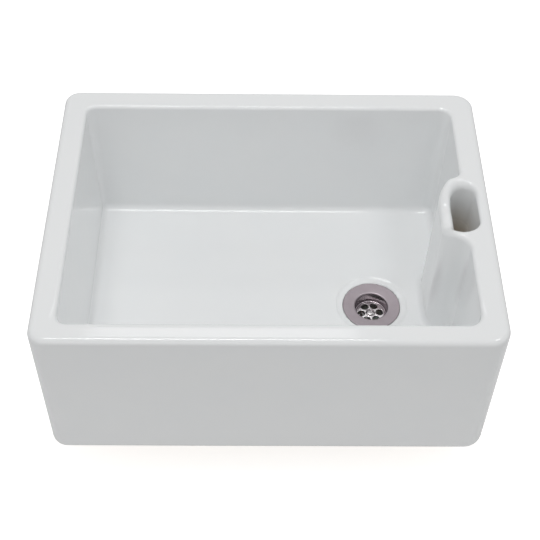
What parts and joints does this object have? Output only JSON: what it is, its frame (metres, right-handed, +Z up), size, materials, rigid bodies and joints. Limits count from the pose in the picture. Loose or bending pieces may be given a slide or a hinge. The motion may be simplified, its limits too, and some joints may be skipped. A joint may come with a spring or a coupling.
{
  "type": "farmhouse apron front sink",
  "caption": "Deep rectangular fireclay kitchen sink with an apron front, a weir overflow in one end wall and a centre-screw strainer waste.",
  "frame": {"origin": "middle of the sink's flat underside, in the plane that rests on the cabinet", "axes": "+X along the sink's length towards the end with the overflow, +Y from the apron to the wall behind, +Z up"},
  "size_m": [0.595, 0.455, 0.3116],
  "materials": {
    "glazed_fireclay": "gloss white glaze",
    "black_rubber": "matt moulded",
    "satin_steel": "satin pressed stainless",
    "polished_steel": "polished stainless",
    "bright_screw": "bright turned",
    "white_plastic": "moulded polypropylene",
    "cast_brass": "machined"
  },
  "bodies": {
    "root": {"sink_bowl": "glazed_fireclay", "flange_seal": "black_rubber", "waste_flange": "satin_steel", "strainer_grid": "polished_steel", "body_seal": "black_rubber", "waste_body": "white_plastic", "insert_nut": "cast_brass"},
    "washer": {"screw_washer": "polished_steel"},
    "screw": {"centre_screw": "bright_screw"}
  },
  "joints": [
    {"name": "screw_rise", "type": "slide", "parent": "root", "child": "washer", "axis": [0, 0, 1], "range_m": [0, 0.008]},
    {"name": "screw_turn", "type": "hinge", "parent": "washer", "child": "screw", "pos_m": [0.1545, -0.0015, 0.0192], "axis": [0, 0, 1], "range_deg": [-90, 3690]}
  ],
  "couplings": [
    {"joint": "screw_turn", "follows": "screw_rise", "rad_per_m": 7854}
  ]
}
